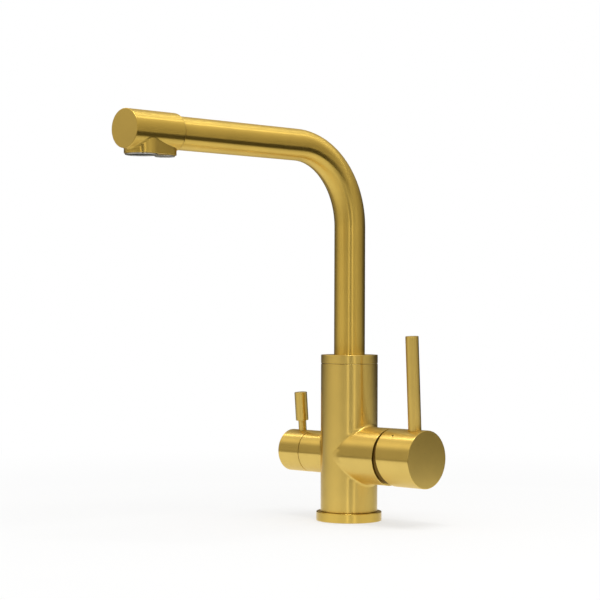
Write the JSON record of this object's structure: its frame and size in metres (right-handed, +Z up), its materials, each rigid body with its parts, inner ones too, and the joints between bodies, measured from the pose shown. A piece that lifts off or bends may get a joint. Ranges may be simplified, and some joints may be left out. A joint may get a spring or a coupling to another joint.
{
  "type": "three way filtered water tap",
  "caption": "Tall kitchen tap with a swivelling L-shaped spout, a side lever for mixed water, a quarter-turn lever knob for filtered water, and separate outlets under the nozzle.",
  "frame": {"origin": "centre of the base on the worktop, on the upright axis of the body", "axes": "+Z up along the body and the spout's riser, -Y along the spout, +X along the mixer boss towards its lever cap, -X towards the filter knob"},
  "size_m": [0.1467, 0.2652, 0.3144],
  "materials": {
    "brushed_gold": "brushed satin gold coating",
    "raw_brass": "machined",
    "steel": "machined",
    "chrome": "bright",
    "rubber": "moulded",
    "ceramic": "lapped ceramic",
    "white_plastic": "moulded",
    "grey_plastic": "moulded",
    "dark_gold": "dark gold fill"
  },
  "bodies": {
    "tap_body": {"base_flange": "brushed_gold", "base_gasket": "rubber", "tap_body": "brushed_gold", "spout_retaining_screw": "steel", "spout_glide_ring": "white_plastic", "cartridge_seal": "rubber", "cartridge_base": "grey_plastic", "fixed_ceramic_disc": "ceramic", "cartridge_housing": "grey_plastic", "cartridge_nut": "raw_brass", "cartridge_cover": "brushed_gold", "filter_valve_seal": "rubber", "filter_valve_body": "raw_brass", "filter_fixed_disc": "ceramic"},
    "spout": {"spout_bush": "raw_brass", "spout_lower_seal": "rubber", "spout_upper_seal": "rubber", "spout_collar": "brushed_gold", "spout_tube": "brushed_gold", "filter_water_tube": "white_plastic", "nozzle_head": "brushed_gold", "aerator_housing": "chrome", "aerator_insert": "grey_plastic", "aerator_washer": "rubber", "filter_jet": "chrome"},
    "mixing_carriage": {"stem_guide": "white_plastic", "stem_pivot_pin": "steel"},
    "lever_handle": {"lever_stem": "raw_brass", "handle_cap": "brushed_gold", "lever_rod": "brushed_gold", "handle_set_screw": "steel", "index_dot": "dark_gold"},
    "disc_shuttle": {"moving_ceramic_disc": "ceramic", "disc_carrier": "white_plastic"},
    "filter_control": {"filter_knob": "brushed_gold", "filter_lever_pin": "brushed_gold", "filter_lever_sleeve": "brushed_gold", "filter_set_screw": "steel", "filter_spindle": "raw_brass", "filter_moving_disc": "ceramic"}
  },
  "joints": [
    {"name": "spout_swivel", "type": "hinge", "parent": "tap_body", "child": "spout", "pos_m": [0, 0, 0.13], "axis": [0, 0, 1], "range_deg": [-180, 180]},
    {"name": "temperature_turn", "type": "hinge", "parent": "tap_body", "child": "mixing_carriage", "pos_m": [0.033, 0, 0.0535], "axis": [1, 0, 0], "range_deg": [-53, 47]},
    {"name": "flow_tilt", "type": "hinge", "parent": "mixing_carriage", "child": "lever_handle", "pos_m": [0.033, 0, 0.0535], "axis": [0, 0.9986, 0.0523], "range_deg": [0, 25]},
    {"name": "disc_shift", "type": "slide", "parent": "mixing_carriage", "child": "disc_shuttle", "axis": [0, -0.0523, 0.9986], "range_m": [0, 0.002]},
    {"name": "filter_turn", "type": "hinge", "parent": "tap_body", "child": "filter_control", "pos_m": [-0.05, 0, 0.0535], "axis": [1, 0, 0], "range_deg": [-4.9, 85.1]}
  ],
  "couplings": [
    {"joint": "disc_shift", "follows": "flow_tilt", "m_per_rad": 0.0045}
  ]
}
